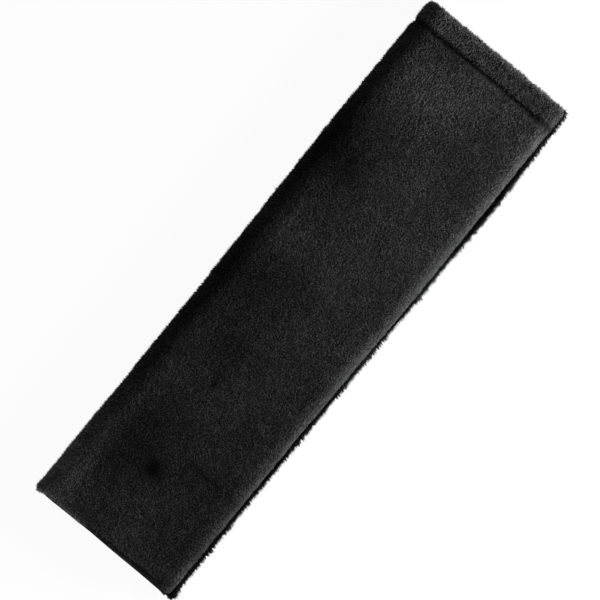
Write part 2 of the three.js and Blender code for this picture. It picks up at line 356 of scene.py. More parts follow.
def settle_piece(piece):
    """Settles a piece that was made on the plain folded pad."""
    x, y, z = points_of(piece).T
    move_points(piece, settled(x, y, z))


def groove_pull(points):
    """How far the topstitch has drawn a place in, as a share of its groove's depth."""
    line = TOPSTITCH_Y - END_SLANT * points[:, 0] / FOLDED_WIDTH
    away = np.abs(points[:, 1] - line) / (GROOVE_WIDTH / 2)
    return 0.5 + 0.5 * np.cos(math.pi * np.clip(away, 0, 1))


# Materials


def new_material(name, **inputs):
    """A material whose shader has these constant sockets; returns it, its graph and its shader."""
    material = bpy.data.materials.new(name)
    material.use_nodes = True
    tree = material.node_tree
    shader = tree.nodes["Principled BSDF"]
    for socket, value in inputs.items():
        shader.inputs[socket.replace("_", " ")].default_value = value
    return material, Graph(tree), shader


def feed(graph, shader, **links):
    for socket, value in links.items():
        graph.tree.links.new(value.output, shader.inputs[socket.replace("_", " ")])


def object_places(graph):
    return graph.add("ShaderNodeTexCoord", output="Object")


def attribute(graph, name):
    return graph.add("ShaderNodeAttribute", {"attribute_name": name}, output="Fac")


def noise_at(graph, places, size, detail=2.0):
    return graph.add("ShaderNodeTexNoise", {}, {"Vector": places, "Scale": 1 / size, "Detail": detail})


def ramp(graph, value, *stops):
    return graph.add("ShaderNodeValToRGB", {"stops": list(stops)}, {"Fac": value})


def bump(graph, height, distance):
    return graph.add("ShaderNodeBump", {}, {"Height": height, "Distance": distance})


def pile_material():
    """Black plush pile, coloured by its shade attribute, which holds painted light and painted shade as
    well as darker marks where it is pressed shorter and random tone, with tips that catch the light.
    """
    material, graph, shader = new_material(
        "plush_pile", Roughness=0.7, Sheen_Weight=0.05, Sheen_Roughness=0.35, Specular_IOR_Level=0.02
    )
    shader.inputs["Sheen Tint"].default_value = (0.55, 0.55, 0.57, 1)
    places = object_places(graph)
    fine = noise_at(graph, places, 0.6 * MM, 1.0)
    tone = attribute(graph, "tone")
    # The shade attribute holds painted light and painted shade near the edges, fold, ends and stitching
    shade = attribute(graph, "shade") * (tone * 0.45 + (fine - 0.5) * 0.5 + 0.09)
    colour = ramp(graph, shade, (0.0, (0.001, 0.001, 0.001)), (1.0, (0.15, 0.15, 0.153)))
    feed(graph, shader, Base_Color=colour)
    return material


def backing_material():
    """The knitted backing that the pile grows from, seen only between the tufts."""
    material, graph, shader = new_material("plush_backing", Roughness=0.95, Specular_IOR_Level=0.02)
    places = object_places(graph)
    knit = noise_at(graph, places, 0.9 * MM)
    # The shade attribute brings the pile's painted light and painted shade to the backing too
    shade = attribute(graph, "shade") * (knit * 0.6 + 0.2)
    colour = ramp(graph, shade, (0.05, (0.0005, 0.0005, 0.0005)), (1.0, (0.03, 0.03, 0.031)))
    feed(graph, shader, Base_Color=colour, Normal=bump(graph, knit, 0.4 * MM))
    return material


def weave_height(graph, pitch):
    """The height of a plain weave, from 0 to 1, on a piece's own flat UV map in metres."""
    places = graph.add("ShaderNodeUVMap", {"uv_map": "flat"})
    parts = graph.add("ShaderNodeSeparateXYZ", {}, {0: places})
    along = parts.other("X") * (math.tau / pitch)
    over = parts.other("Y") * (math.tau / pitch)
    warp = along.math("SINE", along) * over.math("SINE", over)
    return warp * 0.5 + 0.5


def lining_material():
    """Smooth tight weave with a slight sheen."""
    material, graph, shader = new_material(
        "lining_weave", Sheen_Weight=0.03, Sheen_Roughness=0.4, Specular_IOR_Level=0.02
    )
    weave = weave_height(graph, 0.7 * MM)
    places = object_places(graph)
    slub = noise_at(graph, places, 3 * MM, 3.0)
    # The shade attribute holds the rim's painted shadow and painted highlight
    shade = (weave * 0.35 + slub * 0.65) * attribute(graph, "shade")
    colour = ramp(graph, shade, (0.0, (0.002, 0.002, 0.002)), (1.0, (0.04, 0.04, 0.041)))
    threads = bump(graph, weave, 0.08 * MM)
    feed(graph, shader, Base_Color=colour, Roughness=0.5 + slub * 0.25, Normal=threads)
    return material


def foam_material():
    """Open-cell foam, with painted shade in its pores."""
    material, graph, shader = new_material("foam_cells", Roughness=0.95, Specular_IOR_Level=0.05)
    places = object_places(graph)
    cells = graph.add(
        "ShaderNodeTexVoronoi",
        {"feature": "DISTANCE_TO_EDGE"},
        {"Vector": places, "Scale": 1 / (0.9 * MM)},
    )
    # Painted shade: the hollows of the cells darker than their walls
    colour = ramp(graph, cells, (0.02, (0.075, 0.075, 0.078)), (0.35, (0.018, 0.018, 0.019)))
    walls = 1 - cells
    feed(graph, shader, Base_Color=colour, Normal=bump(graph, walls, 0.4 * MM))
    return material


def tape_material(name, tint, roughness):
    """Woven nylon tape with its hooks or loops."""
    material, graph, shader = new_material(name, Specular_IOR_Level=0.2)
    places = object_places(graph)
    ribs = graph.add(
        "ShaderNodeTexWave", {"bands_direction": "Y"}, {"Vector": places, "Scale": 0.314 / (0.8 * MM)}
    )
    mottle = noise_at(graph, places, 5 * MM, 3.0)
    shade = ribs * 0.3 + mottle * 0.7
    dark = tuple(0.45 * part for part in tint)
    colour = ramp(graph, shade, (0.2, dark), (0.8, tint))
    feed(
        graph,
        shader,
        Base_Color=colour,
        Roughness=roughness + mottle * 0.2,
        Normal=bump(graph, ribs, 0.1 * MM),
    )
    return material


def thread_material():
    """Twisted polyester thread."""
    material, graph, shader = new_material("twisted_thread", Specular_IOR_Level=0.05)
    places = object_places(graph)
    fibres = noise_at(graph, places, 0.25 * MM, 2.0)
    colour = ramp(graph, fibres, (0.25, (0.004, 0.004, 0.0045)), (0.8, (0.018, 0.018, 0.019)))
    twist = bump(graph, fibres, 0.06 * MM)
    feed(graph, shader, Base_Color=colour, Roughness=0.55 + fibres * 0.2, Normal=twist)
    return material


# The plush cover

# The dents in the cloth: how wide they are and how deep, in mm, and which noise they follow
DENTS = ((34, 0.25, 1), (9, 0.12, 2), (3.5, 0.16, 13))
CORNER_ALONG = 131 * MM, 134.5 * MM
CORNER_ACROSS = 34 * MM, 37.5 * MM


def swell(piece, sewn_down):
    """Lets the cover swell as its filling presses on it, held where it is sewn down."""
    held = piece.vertex_groups.new(name="sewn_down")
    for weight in (0.25, 0.5, 0.75, 1.0):
        chosen = np.flatnonzero(sewn_down >= weight)
        held.add([int(index) for index in chosen], weight, "REPLACE")
    before = points_of(piece)
    only(piece)
    cloth = piece.modifiers.new("Cloth", "CLOTH")
    cloth.settings.quality = 3
    cloth.settings.mass = 0.3
    cloth.settings.vertex_group_mass = "sewn_down"
    cloth.settings.use_pressure = True
    cloth.settings.uniform_pressure_force = 4
    cloth.settings.bending_stiffness = 10
    cloth.settings.effector_weights.gravity = 0
    cloth.collision_settings.use_collision = False
    for step in range(1, SWELL_STEPS + 1):
        bpy.context.scene.frame_set(step)
    bpy.ops.object.modifier_apply(modifier=cloth.name)
    bpy.context.scene.frame_set(1)
    moved = points_of(piece) - before
    length = np.maximum(np.linalg.norm(moved, axis=1), 0.001 * MM)
    capped = SWELL_CAP * np.tanh(SWELL_SHARE * length / SWELL_CAP)
    move_points(piece, before + moved * (capped / length)[:, None])
    piece.vertex_groups.clear()


def plush_backing():
    """The cover below its pile, an even mesh of the solid, drawn in by the pile's depth."""
    piece = copy_of("plush_cover", "plush_cover_backing")
    apply_modifier(piece, "REMESH", mode="VOXEL", voxel_size=BACKING_CELL)
    points = points_of(piece)
    from_insides = nearest_distance(points, "foam_padding", "lining")
    outside = from_insides > CLEAR_OF_INSIDES
    groove = groove_pull(points) * outside
    move_points(piece, laid_out(*points.T))
    sewn_down = np.maximum(1 - ease(from_insides, CLEAR_OF_INSIDES, 2 * CLEAR_OF_INSIDES), groove)
    swell(piece, sewn_down)
    points = points_of(piece)
    dents = sum(smooth_noise(points, width * MM, seed) * depth * MM for width, depth, seed in DENTS)
    facing = normals_of(piece)
    sideways = 1 - np.abs(facing[:, 2])
    out = np.abs(points)
    corner = ease(out[:, 1], *CORNER_ALONG) * ease(out[:, 0], *CORNER_ACROSS)
    corner *= np.where(points[:, 1] < 0, 1.3, np.where(points[:, 0] > 0, 0.6, 0))
    lower_edge = ease(points[:, 0], 32 * MM, 36 * MM) * (points[:, 2] < MIDDLE_Z)
    drawn_in = 1 - 0.4 * groove - 0.45 * sideways - corner - 0.6 * lower_edge
    sink = (PILE_DEPTH * drawn_in - dents) * outside
    points -= facing * sink[:, None]
    points[:, 2] = np.maximum(points[:, 2], FLOOR_CLEARANCE)
    move_points(piece, points)
    piece.data.shade_smooth()
    piece.data.materials.append(backing_material())
    return piece, outside, from_insides


# Where the nap has been brushed on the upper half: the place, its radius, and how far the pile there
# is laid flat or stands up; laid pile gets painted sheen, standing pile painted shade
BRUSHED_PLACES = (
    ((-18, 103), 18, 1.1),
    ((3, 112), 14, 0.3),
    ((-5, 20), 12, 0.6),
    ((-22, 20), 10, 0.6),
    ((-16, -58), 14, 0.5),
    ((-27, -127), 16, 1.1),
    ((5, -128), 14, 0.6),
    ((-31, 62), 15, -0.9),
    ((-20, 55), 9, -0.5),
    ((-27, -10), 12, -0.6),
    ((-7, -35), 10, -0.5),
    ((-14, -86), 14, -0.3),
    ((20, -86), 8, -0.4),
    ((-20, -101), 12, -0.25),
    ((18, 85), 16, -0.3),
)
# How far from the middle, in mm across at mm along, painted shade starts on the pile over the fold
FOLD_SHADE_FROM = (-135, -100, -70, -40, 0, 50, 95, 118, 135), (40, 40, 34, 31, 28, 25, 24.5, 28, 32)
DARK_PATCH_PLACE = (-4.8 * MM, -96.5 * MM)
SMALL_SPOT_PLACE = (-7.3 * MM, -52.1 * MM)
CREASE_START = (3.3 * MM, -84.6 * MM)
CREASE_END = (21.4 * MM, -84.6 * MM)
# Where the pile gets painted light or painted shade near its edges: by what share, over which places
# across and along, in mm, that comes in, and whether it is on the upper half alone
PAINTED_LIGHT_AND_SHADE = (
    (0.2, (5, 20), (-118, -130), True),
    (-0.4, (-25, -32), (-131.5, -134), False),
    (0.3, (33.3, 34.8), (-20, -60), True),
    (-0.35, (33, 35), (115, 125), False),
)


def crease(points):
    """1 on the faint pressed line across the upper half, fading to 0 beside it."""
    beside = np.abs(points[:, 1] - CREASE_START[1] + 0.05 * (points[:, 0] - CREASE_START[0]))
    within = ease(points[:, 0], CREASE_START[0] - 4 * MM, CREASE_START[0] + 2 * MM)
    within *= 1 - ease(points[:, 0], CREASE_END[0] - 2 * MM, CREASE_END[0] + 4 * MM)
    return np.exp(-((beside / (0.8 * MM)) ** 2)) * within


def plan_pile(backing, outside, from_insides):
    """Says at each point of the backing how thick and long the pile is, how it leans and its shade,
    which holds painted light and painted shade.
    """
    points = points_of(backing)
    x, y, z = points.T
    upper = z > MIDDLE_Z
    groove = groove_pull(points)
    # laid leans the pile and paints sheen into its shade; its rise along y is painted light, lighter
    # towards the stitched end
    laid = 0.25 * smooth_noise(points, 16 * MM, 3) + 0.002 * y / MM
    for (centre_x, centre_y), radius, tone in BRUSHED_PLACES:
        laid += tone * spot(points, (centre_x * MM, centre_y * MM), radius * MM) * upper
    lean = np.zeros_like(points)
    lean[:, 0] = 0.1 + 0.2 * smooth_noise(points, 12 * MM, 5)
    lean[:, 1] = -0.3 - 0.4 * laid + 0.2 * smooth_noise(points, 20 * MM, 4)
    size = 0.95 + 0.3 * smooth_noise(points, 3 * MM, 7)
    size *= 1 - 0.3 * groove
    size *= 0.7 + 0.3 * ease(from_insides, CLEAR_OF_INSIDES, 3 * MM)
    closing_edge = ease_mm(x, 31, 36)
    rolled = closing_edge * upper
    fringe = closing_edge * ~upper
    # The stitched end's hem, which also gets a painted highlight
    hem = ease_mm(y, 132, 134.5) * upper
    size *= 1 - 0.1 * rolled + fringe * (0.3 + 0.75 * smooth_noise(points, 1.8 * MM, 10))
    lean[:, 0] += 0.3 * fringe - 0.5 * rolled
    lean[:, 1] -= 0.6 * rolled
    # Dark marks on the upper half, with painted shade along its crease
    dark = spot(points, DARK_PATCH_PLACE, 4.5 * MM) + spot(points, SMALL_SPOT_PLACE, 1.2 * MM)
    dark = (np.clip(dark, 0, 1) + 0.5 * crease(points)) * upper
    size *= 1 - 0.35 * np.clip(dark, 0, 1)
    # How far in over the fold the painted shade has reached
    fold_shade = -x / MM - np.interp(y / MM, *FOLD_SHADE_FROM)
    fold_shade += 1.5 * smooth_noise(points, 6 * MM, 15)
    shade = 1 + 0.1 * smooth_noise(points, 18 * MM, 8) + 0.15 * smooth_noise(points, 5 * MM, 9)
    # Dark marks, painted sheen where the nap is laid and painted shade where it stands, and a painted
    # highlight along the hem
    shade *= (1 - 0.85 * np.clip(dark, 0, 1)) * (1 + 0.6 * laid) * (1 + 2.5 * hem)
    # Painted shade over the fold
    shade *= 1 - 0.2 * ease(fold_shade, -2, 3)
    # Painted light on the fold side near the plain end, less at the end itself
    lit_corner = ease_mm(x, -23, -33) * ease_mm(y, -60, -115)
    shade *= 1 + 1.9 * lit_corner * (1 - 0.7 * ease_mm(y, -129, -134))
    # Painted shadow along the plain end where the upper half is set back
    set_back_shadow = ease_mm(y, -132.2, -132.9) * ease_mm(x, -16, -8) * upper
    shade *= 1 - 0.85 * set_back_shadow * (1 - ease_mm(x, 28, 31))
    # A painted highlight along the upper half's plain end edge
    end_highlight = ease_mm(y, -133.2, -133.6) * ease_mm(x, -24, -18) * upper
    end_highlight *= 1 - ease_mm(x, -10, 6)
    shade += (2 - shade) * end_highlight
    # Painted light and painted shade near the edges
    for change, over_x, over_y, upper_only in PAINTED_LIGHT_AND_SHADE:
        place = ease_mm(x, *over_x) * ease_mm(y, *over_y)
        shade *= 1 + change * place * (upper if upper_only else 1)
    past_stitch = y + END_SLANT * x / FOLDED_WIDTH - TOPSTITCH_Y
    # Painted light past the topstitch towards the fold
    shade *= 1 + 0.9 * ease_mm(past_stitch, 1, 2.5) * ease_mm(x, 2, -24) * upper
    # Painted shade just past the topstitch groove
    beside_stitch = ease_mm(past_stitch, 0, 0.4) * (1 - ease_mm(past_stitch, 0.8, 2.4))
    shade *= 1 - 0.5 * beside_stitch * upper
    closed_groove = 0.6 * ease(np.abs(x), 27 * MM, 32 * MM) * upper
    open_groove = ease(groove, 0.62, 0.84) * (1 - closed_groove)
    # Painted shade in the open topstitch groove
    shade *= 1 - 0.95 * open_groove
    # Painted shadow on the lower half's closing edge, under the upper half
    shade *= 1 - 0.85 * fringe
    set_attribute(backing, "nap", lean)
    set_attribute(backing, "tuft_size", size)
    set_attribute(backing, "shade", shade)
    return outside * (1 - open_groove) * (1 + 0.35 * rolled + 0.3 * hem)


def tuft():
    """One tuft of pile, a pointed bundle that stands on the origin."""
    return start_shape(
        bpy.ops.mesh.primitive_cone_add,
        vertices=3,
        radius1=TUFT_RADIUS,
        radius2=0,
        depth=TUFT_LENGTH,
        location=(0, 0, TUFT_LENGTH / 2),
    )


def scatter(name, ground, share, shape, per_mm2, seed, uprightness=0.9):
    """Copies of a shape scattered over a ground piece as densely as share says, leaning with its nap."""
    piece = bpy.data.objects.new(name, ground.data.copy())
    bpy.context.scene.collection.objects.link(piece)
    set_attribute(piece, "share", share)
    tree = bpy.data.node_groups.new(name, "GeometryNodeTree")
    tree.interface.new_socket("Geometry", in_out="INPUT", socket_type="NodeSocketGeometry")
    tree.interface.new_socket("Geometry", in_out="OUTPUT", socket_type="NodeSocketGeometry")
    graph = Graph(tree)

    def field(attribute_name, kind="FLOAT"):
        name_socket = {"Name": attribute_name}
        return graph.add("GeometryNodeInputNamedAttribute", {"data_type": kind}, name_socket)

    def random_number(low, high, draw):
        sockets = {2: low, 3: high, "Seed": seed + draw}
        return graph.add("FunctionNodeRandomValue", {"data_type": "FLOAT"}, sockets, 1)

    def random_vector(low, high, draw):
        sockets = {0: low, 1: high, "Seed": seed + draw}
        return graph.add("FunctionNodeRandomValue", {"data_type": "FLOAT_VECTOR"}, sockets)

    def vector(operation, first, second):
        sockets = {0: first, "Scale": second} if operation == "SCALE" else {0: first, 1: second}
        return graph.add("ShaderNodeVectorMath", {"operation": operation}, sockets)

    density = field("share") * (per_mm2 / MM**2)
    points = graph.add(
        "GeometryNodeDistributePointsOnFaces",
        {"distribute_method": "RANDOM"},
        {"Mesh": graph.add("NodeGroupInput"), "Density": density, "Seed": seed},
    )
    marked = graph.add(
        "GeometryNodeStoreNamedAttribute",
        {"data_type": "FLOAT_VECTOR"},
        {"Geometry": points, "Name": "ground", "Value": points.other("Normal")},
    )
    marked = graph.add(
        "GeometryNodeStoreNamedAttribute",
        {"data_type": "FLOAT"},
        {"Geometry": marked, "Name": "tone", "Value": random_number(0.0, 1.0, 3)},
    )
    position = graph.add("GeometryNodeInputPosition")
    ripple = graph.add("ShaderNodeTexNoise", {}, {"Vector": position, "Scale": 1 / (0.9 * MM)}, 1)
    jitter = random_vector((-1, -1, -1), (1, 1, 1), 2)
    ruffled = vector("SCALE", vector("SUBTRACT", ripple, (0.5, 0.5, 0.5)), RUFFLE)
    upright = vector("SCALE", points.other("Normal"), uprightness)
    leaning = vector("ADD", field("nap", "FLOAT_VECTOR"), vector("SCALE", jitter, 0.45))
    direction = vector("ADD", vector("ADD", leaning, ruffled), upright)
    turn = random_vector((0, 0, 0), (0, 0, math.tau), 0)
    size = random_number(0.7, 1.25, 1)
    rotation = graph.add(
        "FunctionNodeAlignRotationToVector", {"axis": "Z"}, {"Rotation": turn, "Vector": direction}
    )
    model = graph.add("GeometryNodeObjectInfo", {}, {"Object": shape}, "Geometry")
    copies = graph.add(
        "GeometryNodeInstanceOnPoints",
        {},
        {"Points": marked, "Instance": model, "Rotation": rotation, "Scale": size * field("tuft_size")},
    )
    made_real = graph.add("GeometryNodeRealizeInstances", {}, {"Geometry": copies})
    graph.add("NodeGroupOutput", {}, {0: made_real})
    apply_modifier(piece, "NODES", node_group=tree)
    points = points_of(piece)
    points[:, 2] = np.maximum(points[:, 2], FLOOR_CLEARANCE)
    move_points(piece, points)
    piece.data.materials.clear()
    piece.data.shade_smooth()
    below = np.empty(len(points) * 3, np.float32)
    piece.data.attributes["ground"].data.foreach_get("vector", below)
    blended = GROUND_SHARE * below.reshape(-1, 3) + (1 - GROUND_SHARE) * normals_of(piece)
    piece.data.normals_split_custom_set_from_vertices(blended.tolist())
    return piece


def plush_pile(backing, share):
    """The pile: over the upper half in two lengths, round the fold, and under the lower half."""
    points = points_of(backing)
    upper = (points[:, 2] > MIDDLE_Z).astype(float)
    past_fold = (points[:, 0] > FOLD_X + FRAME_SHIFT).astype(float)
    stitched_half = (points[:, 1] > 0).astype(float)
    regions = {
        "plush_pile_upper_plain_half": (past_fold * upper * (1 - stitched_half), 1.0),
        "plush_pile_upper_stitched_half": (past_fold * upper * stitched_half, 1.0),
        "plush_pile_fold": (1 - past_fold, 1.0),
        "plush_pile_lower": (past_fold * (1 - upper), LOWER_PILE_SHARE),
    }
    shape = tuft()
    material = pile_material()
    pieces = []
    for number, (name, (region, thinning)) in enumerate(regions.items()):
        piece = scatter(name, backing, share * region, shape, TUFTS_PER_MM2 * thinning, 10 * number)
        piece.data.materials.append(material)
        pieces.append(piece)
    bpy.data.objects.remove(shape)
    return pieces


# The lining and the foam

RIM_RADIUS = 0.75 * MM
RIM_SET_BACK = 0.1 * MM
LINING_CELL = 1.3 * MM
FOAM_CELL = 1.5 * MM
LINING_MIDDLE = FLAP_THICKNESS - LINING_THICKNESS / 2
RIM_CENTRE_Y = -HALF_LENGTH + RIM_SET_BACK + LINING_THICKNESS / 2 + RIM_RADIUS
RIM_WALL = 2.05 * MM
RIM_LENGTH = RIM_WALL + RIM_RADIUS * math.pi / 2
LINING_INSET = SEAM_INNER + 0.2 * MM
LINING_END_Y = HALF_LENGTH - LINING_INSET
LINING_RUN = LINING_END_Y - RIM_CENTRE_Y
LINING_FOLD = math.pi * (MIDDLE_Z - LINING_MIDDLE)
LINING_CUT = (2 * (HALF_RUN - LINING_INSET) + LINING_FOLD, RIM_LENGTH + LINING_RUN)
# Where the rim gets a painted highlight: how far round its turn, and from and to where across
HIGHLIGHT_ANGLE = 0.5
HIGHLIGHT_SPREAD = 0.5
HIGHLIGHT_FROM = 14 * MM, 40 * MM
HIGHLIGHT_TO = 46 * MM, 66 * MM


def flat_grid(name, width, length, cell):
    """A flat grid with a UV map in metres, from 0 to its width and length."""
    piece = start_shape(
        bpy.ops.mesh.primitive_grid_add,
        x_subdivisions=round(width / cell),
        y_subdivisions=round(length / cell),
        size=1,
        location=(0.5, 0.5, 0),
    )
    piece.name = name
    places = points_of(piece) * (width, length, 1)
    move_points(piece, places)
    corners = np.empty(len(piece.data.loops), int)
    piece.data.loops.foreach_get("vertex_index", corners)
    flat = piece.data.uv_layers.new(name="flat")
    flat.data.foreach_set("uv", places[corners, :2].ravel())
    return piece


def lining_sheet():
    """The lining, cut as one sheet: up the plain end as a rim, round its turn, then flat to the hem."""
    piece = flat_grid("lining_cloth", *LINING_CUT, LINING_CELL)
    width, length, _ = points_of(piece).T
    inner_fold = LINING_FOLD / 2
    middle = LINING_CUT[0] / 2
    beside_fold = middle - np.abs(width - middle) - (HALF_RUN - LINING_INSET)
    turned = np.clip(beside_fold, 0, inner_fold) * (MIDDLE_Z * math.pi / LINING_FOLD)
    from_edge = LINING_INSET + np.minimum(width, LINING_CUT[0] - width)
    across = np.where(beside_fold > 0, HALF_RUN + turned, from_edge)
    across = np.where(width > middle, FLAT_WIDTH - across, across)
    angle = np.clip((length - RIM_WALL) / RIM_RADIUS, 0, math.pi / 2)
    along = RIM_CENTRE_Y - RIM_RADIUS * np.cos(angle) + np.maximum(length - RIM_LENGTH, 0)
    depth = LINING_MIDDLE - RIM_RADIUS * (1 - np.sin(angle)) - np.maximum(RIM_WALL - length, 0)
    flat_part = ease(length, RIM_LENGTH, RIM_LENGTH + 6 * MM)
    at_stitch = np.clip(np.abs(along - TOPSTITCH_Y) / (GROOVE_WIDTH / 2), 0, 1)
    depth -= LINING_GROOVE_DEPTH * (0.5 + 0.5 * np.cos(math.pi * at_stitch)) * flat_part
    places = np.stack([width, length, np.zeros_like(width)], axis=1)
    depth += 0.12 * MM * smooth_noise(places, 9 * MM, 11) * flat_part
    seam_side = 1 - ease(from_edge, LINING_INSET, LINING_INSET + 1.5 * MM)
    depth -= 0.35 * MM * seam_side * flat_part
    from_closing = np.minimum(across, FLAT_WIDTH - across)
    # A painted highlight along the rim's turn
    rim_highlight = np.exp(-(((angle - HIGHLIGHT_ANGLE) / HIGHLIGHT_SPREAD) ** 2))
    rim_highlight *= 1 - ease(from_closing, *HIGHLIGHT_TO)
    rim_highlight *= ease(from_closing, *HIGHLIGHT_FROM)
    # The rim is darkened with painted shadow from the upper half, under its painted highlight
    set_attribute(piece, "shade", 0.15 + 0.85 * flat_part + 2 * rim_highlight)
    move_points(piece, folded(across, along, depth))
    apply_modifier(piece, "SOLIDIFY", thickness=LINING_THICKNESS * 0.9, offset=0)
    only(piece)
    bpy.ops.object.mode_set(mode="EDIT")
    bpy.ops.mesh.select_all(action="SELECT")
    bpy.ops.mesh.normals_make_consistent(inside=False)
    bpy.ops.object.mode_set(mode="OBJECT")
    piece.data.shade_smooth()
    piece.data.materials.append(lining_material())
    return piece


def foam_sheet():
    """The foam, remade from its solid as an even mesh with the soft pits of open cells."""
    piece = copy_of("foam_padding", "foam_sheet")
    apply_modifier(piece, "REMESH", mode="VOXEL", voxel_size=FOAM_CELL)
    points = points_of(piece)
    pits = 0.12 * smooth_noise(points, 2.5 * MM, 12) - 0.12
    points += normals_of(piece) * (pits * MM)[:, None]
    move_points(piece, laid_out(*points.T))
    piece.data.shade_smooth()
    piece.data.materials.append(foam_material())
    return piece


# The closure strips

UPPER_TAPE_Z = PAD_THICKNESS - FLAP_THICKNESS - LAYER_GAP
LOWER_TAPE_Z = FLAP_THICKNESS + LAYER_GAP
TAPE_STEPS = 60


def tape(name, z):
    """A woven tape at a height above the floor, with soft edges."""
    piece = start_shape(
        bpy.ops.mesh.primitive_cube_add,
        size=1,
        scale=(STRIP_WIDTH, STRIP_LENGTH, TAPE_THICKNESS),
        location=((STRIP_INNER_X + STRIP_OUTER_X) / 2, (STRIP_START_Y + STRIP_END_Y) / 2, z),
    )
    piece.name = name
    apply_modifier(piece, "BEVEL", width=0.2 * MM, segments=2)
    only(piece)
    bpy.ops.object.mode_set(mode="EDIT")
    for step in range(1, TAPE_STEPS):
        bpy.ops.mesh.select_all(action="SELECT")
        cut_y = STRIP_START_Y + step * STRIP_LENGTH / TAPE_STEPS
        bpy.ops.mesh.bisect(plane_co=(0, cut_y, 0), plane_no=(0, 1, 0))
    bpy.ops.object.mode_set(mode="OBJECT")
    return piece


def bent_wire(name, radius, stem, bend, angle):
    """A short monofilament that rises from the origin and bends over, as a hook or a loop."""
    piece = start_shape(bpy.ops.mesh.primitive_circle_add, vertices=4, radius=radius, fill_type="NGON")
    piece.name = name
    bpy.ops.object.mode_set(mode="EDIT")
    bpy.ops.mesh.select_all(action="SELECT")
    bpy.ops.mesh.extrude_region_move(TRANSFORM_OT_translate={"value": (0, 0, stem)})
    bpy.ops.mesh.spin(steps=6, angle=angle, center=(bend, 0, stem), axis=(0, 1, 0))
    bpy.ops.mesh.select_all(action="SELECT")
    bpy.ops.mesh.remove_doubles(threshold=0.001 * MM)
    bpy.ops.mesh.normals_make_consistent(inside=False)
    bpy.ops.object.mode_set(mode="OBJECT")
    return piece


def repeat(piece, count, step):
    """Makes a piece a row of its copies, each a step further on."""
    apply_modifier(
        piece,
        "ARRAY",
        count=count,
        use_relative_offset=False,
        use_constant_offset=True,
        constant_offset_displace=step,
    )


HOOK_PITCH = 1.5 * MM
HOOKS_ACROSS = 6
HOOKS_ALONG = int((STRIP_LENGTH - 2 * SELVEDGE) / HOOK_PITCH)
LOOPS_PER_MM2 = 0.62


def hook_strip():
    """The hook tape on the upper half, its rows of hooks pointing down into the loops."""
    stem = HOOK_HEIGHT - 0.36 * MM
    hooks = bent_wire("hooks", radius=0.11 * MM, stem=stem, bend=0.25 * MM, angle=math.radians(200))
    repeat(hooks, HOOKS_ACROSS, (HOOK_PITCH, 0, 0))
    repeat(hooks, HOOKS_ALONG, (0, HOOK_PITCH, 0))
    x, y, z = points_of(hooks).T
    side_by_side = HOOKS_ACROSS * HOOK_PITCH
    start_x = (STRIP_INNER_X + STRIP_OUTER_X - side_by_side) / 2 + side_by_side
    hanging_z = UPPER_TAPE_Z - TAPE_THICKNESS - z
    move_points(hooks, np.stack([start_x - x, y + STRIP_START_Y + SELVEDGE, hanging_z], axis=1))
    strip = join("hook_strip_tape", tape("hook_tape", UPPER_TAPE_Z - TAPE_THICKNESS / 2), hooks)
    settle_piece(strip)
    return strip


def loop_strip():
    """The loop tape on the lower half, under a brushed bed of small loops."""
    base = tape("loop_strip_tape", LOWER_TAPE_Z + TAPE_THICKNESS / 2)
    points = points_of(base)
    on_top = points[:, 2] > LOWER_TAPE_Z + TAPE_THICKNESS - 0.01 * MM
    set_attribute(base, "nap", np.zeros_like(points))
    set_attribute(base, "tuft_size", np.ones(len(points)))
    settle_piece(base)
    shape = bent_wire("loop", radius=0.07 * MM, stem=0.45 * MM, bend=0.4 * MM, angle=math.pi)
    bed = on_top.astype(float)
    loops = scatter("loops", base, bed, shape, LOOPS_PER_MM2, seed=5, uprightness=2.2)
    bpy.data.objects.remove(shape)
    return join("loop_strip_tape", base, loops)


# The stitching

TOPSTITCH_LENGTH = 3 * MM
STRIP_STITCH_LENGTH = 2.5 * MM
SEAM_STITCH_LENGTH = 2.6 * MM
NEEDLE_DEPTH = GROOVE_DEPTH + 0.35 * MM
BOBBIN_DEPTH = FLAP_THICKNESS - LINING_GROOVE_DEPTH + TOPSTITCH_DIAMETER / 2


def stitch_run(start, end, depth, diameter, pitch):
    """Stitches along a straight line on the flat pad, each dipping into the cloth at its ends."""
    start = np.array(start)
    reach = np.array(end) - start
    length = np.hypot(*reach)
    count = round(length / pitch)
    pitch = length / count
    lying = (0, math.pi / 2, 0)
    row = start_shape(bpy.ops.mesh.primitive_uv_sphere_add, segments=6, ring_count=7, rotation=lying)
    x, y, z = points_of(row).T
    ahead = 0.46 * pitch * np.sign(x) * np.abs(x) ** 0.7
    dip = diameter * 0.8 * x**4
    move_points(row, np.stack([ahead, y * diameter / 2, z * diameter / 2 + dip], axis=1))
    repeat(row, count, (pitch, 0, 0))
    x, y, z = points_of(row).T
    x += pitch / 2
    forward = reach / length
    flat = start + x[:, None] * forward + y[:, None] * np.array((-forward[1], forward[0]))
    move_points(row, np.column_stack([flat, depth + z]))
    fold_piece(row)
    return row


def stitching(name, *runs):
    piece = join(name, *[stitch_run(*run) for run in runs])
    piece.data.shade_smooth()
    piece.data.materials.append(sewing_thread)
    return piece


def topstitch(name, depth):
    ends = (TOPSTITCH_FROM_EDGE, TOPSTITCH_Y), (FLAT_WIDTH - TOPSTITCH_FROM_EDGE, TOPSTITCH_Y)
    return stitching(name, (*ends, depth, TOPSTITCH_DIAMETER, TOPSTITCH_LENGTH))


